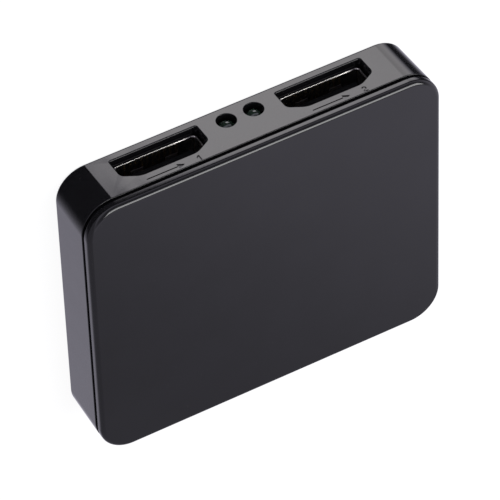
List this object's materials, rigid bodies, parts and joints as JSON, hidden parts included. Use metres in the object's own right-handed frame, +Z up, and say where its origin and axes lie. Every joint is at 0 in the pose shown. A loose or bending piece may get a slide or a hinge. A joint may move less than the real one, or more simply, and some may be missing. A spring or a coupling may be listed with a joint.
{
  "type": "hdmi splitter",
  "caption": "Flat gloss black box that copies one video input to several outputs, with bevelled sockets in both ends, indicator lamps, and a lift-off cover over its circuit board.",
  "frame": {"origin": "under the middle of the case, on the flat back of the deep shell, which the part lies on", "axes": "+X along the output end from output 1 to output 2, +Y out of the output end, +Z up through the cover"},
  "size_m": [0.062, 0.0522, 0.0111],
  "materials": {
    "case_black": "gloss black moulding",
    "board": "green solder mask",
    "socket_metal": "nickel plated sheet",
    "socket_moulding": "black moulding",
    "contact_gold": "gold plated",
    "lamp": "smoky green clear resin",
    "tinned_lead": "tinned",
    "chip": "black chip moulding",
    "ferrite": "grey ferrite",
    "capacitor": "tan ceramic"
  },
  "bodies": {
    "case": {"main_shell": "case_black", "circuit_board": "board", "out1_shell": "socket_metal", "out1_insulator": "socket_moulding", "out1_contacts": "contact_gold", "out2_shell": "socket_metal", "out2_insulator": "socket_moulding", "out2_contacts": "contact_gold", "in_shell": "socket_metal", "in_insulator": "socket_moulding", "in_contacts": "contact_gold", "power_shell": "socket_metal", "power_insulator": "socket_moulding", "power_contacts": "contact_gold", "led_1": "lamp", "led_2": "lamp", "led_wires": "tinned_lead", "splitter_chip": "chip", "splitter_leads": "tinned_lead", "eeprom": "chip", "eeprom_leads": "tinned_lead", "regulator": "chip", "regulator_leads": "tinned_lead", "crystal": "socket_metal", "inductor": "ferrite", "capacitors": "capacitor", "resistors": "chip", "esd_arrays": "chip"},
    "lid": {"cover": "case_black"},
    "out1_spring_pair": {"out1_springs": "socket_metal"},
    "out2_spring_pair": {"out2_springs": "socket_metal"},
    "in_spring_pair": {"in_springs": "socket_metal"}
  },
  "joints": [
    {"name": "cover_lift", "type": "slide", "parent": "case", "child": "lid", "axis": [0, 0, 1], "range_m": [0, 0.03]},
    {"name": "out1_grip", "type": "hinge", "parent": "case", "child": "out1_spring_pair", "pos_m": [-0.0145, 0.02239, 0.00187], "axis": [1, 0, 0], "range_deg": [0, 3.5], "stiffness_Nm_per_rad": 0.25},
    {"name": "out2_grip", "type": "hinge", "parent": "case", "child": "out2_spring_pair", "pos_m": [0.0145, 0.02239, 0.00187], "axis": [1, 0, 0], "range_deg": [0, 3.5], "stiffness_Nm_per_rad": 0.25},
    {"name": "in_grip", "type": "hinge", "parent": "case", "child": "in_spring_pair", "pos_m": [-0.008, -0.02239, 0.00187], "axis": [-1, 0, 0], "range_deg": [0, 3.5], "stiffness_Nm_per_rad": 0.25}
  ]
}
